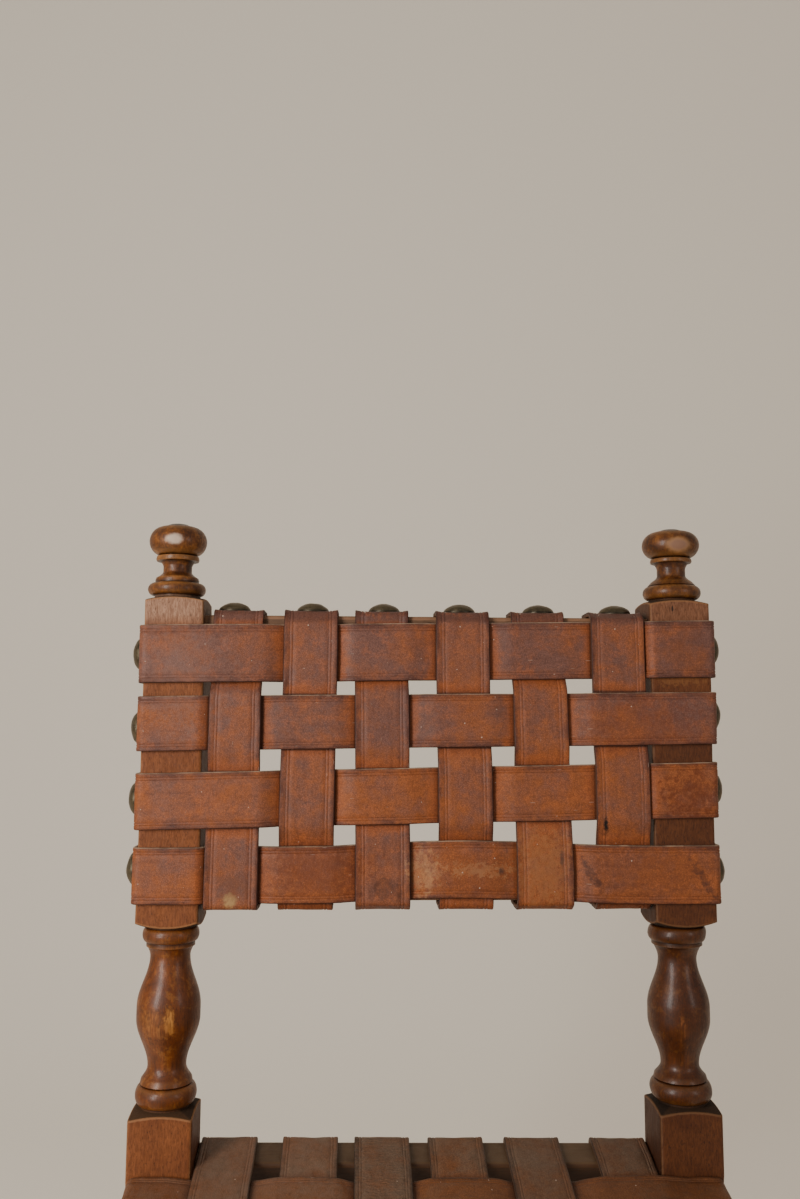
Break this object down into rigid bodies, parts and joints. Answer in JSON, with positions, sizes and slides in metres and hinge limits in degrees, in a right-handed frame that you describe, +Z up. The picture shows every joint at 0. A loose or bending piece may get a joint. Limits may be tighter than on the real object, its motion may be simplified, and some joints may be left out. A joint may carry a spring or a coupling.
{
  "type": "side chair",
  "caption": "High-backed side chair with turned and square-blocked posts, and a seat and back woven from flat leather straps held by domed nails.",
  "frame": {"origin": "on the floor, under the middle of the chair's box", "axes": "+X to the right of someone facing the chair, +Y from its front to its back, +Z up"},
  "size_m": [0.4732, 0.5336, 0.9256],
  "materials": {
    "post_wood": "amber-brown lacquered hardwood, glossy on the turnings and worn on the square blocks",
    "rail_wood": "plain hardwood with little finish",
    "back_leather": "cognac vegetable-tanned strap leather, creased along its edges and burnished by wear",
    "seat_leather": "the same strap leather, darker and duller from use",
    "nail_bronze": "dark antique bronze, rubbed bright on the crown"
  },
  "bodies": {
    "root": {"back_post_left": "post_wood", "front_leg_left": "post_wood", "seat_rail_left": "rail_wood", "stretcher_left": "post_wood", "back_post_right": "post_wood", "front_leg_right": "post_wood", "seat_rail_right": "rail_wood", "stretcher_right": "post_wood", "seat_rail_rear": "rail_wood", "seat_rail_front": "rail_wood", "stretcher_rear": "post_wood", "stretcher_front": "post_wood", "seat_strap_long_1": "seat_leather", "seat_strap_long_2": "seat_leather", "seat_strap_long_3": "seat_leather", "seat_strap_long_4": "seat_leather", "seat_strap_long_5": "seat_leather", "seat_strap_long_6": "seat_leather", "seat_strap_cross_1": "seat_leather", "seat_strap_cross_2": "seat_leather", "seat_strap_cross_3": "seat_leather", "seat_strap_cross_4": "seat_leather", "seat_strap_cross_5": "seat_leather", "seat_strap_cross_6": "seat_leather", "back_rail_top": "rail_wood", "back_rail_bottom": "rail_wood", "back_strap_upright_1": "back_leather", "back_nail_top_1": "nail_bronze", "back_nail_rear_1": "nail_bronze", "back_strap_upright_2": "back_leather", "back_nail_top_2": "nail_bronze", "back_nail_rear_2": "nail_bronze", "back_strap_upright_3": "back_leather", "back_nail_top_3": "nail_bronze", "back_nail_rear_3": "nail_bronze", "back_strap_upright_4": "back_leather", "back_nail_top_4": "nail_bronze", "back_nail_rear_4": "nail_bronze", "back_strap_upright_5": "back_leather", "back_nail_top_5": "nail_bronze", "back_nail_rear_5": "nail_bronze", "back_strap_upright_6": "back_leather", "back_nail_top_6": "nail_bronze", "back_nail_rear_6": "nail_bronze", "back_strap_cross_1": "back_leather", "back_nail_left_1": "nail_bronze", "back_nail_right_1": "nail_bronze", "back_strap_cross_2": "back_leather", "back_nail_left_2": "nail_bronze", "back_nail_right_2": "nail_bronze", "back_strap_cross_3": "back_leather", "back_nail_left_3": "nail_bronze", "back_nail_right_3": "nail_bronze", "back_strap_cross_4": "back_leather", "back_nail_left_4": "nail_bronze", "back_nail_right_4": "nail_bronze"}
  },
  "joints": []
}
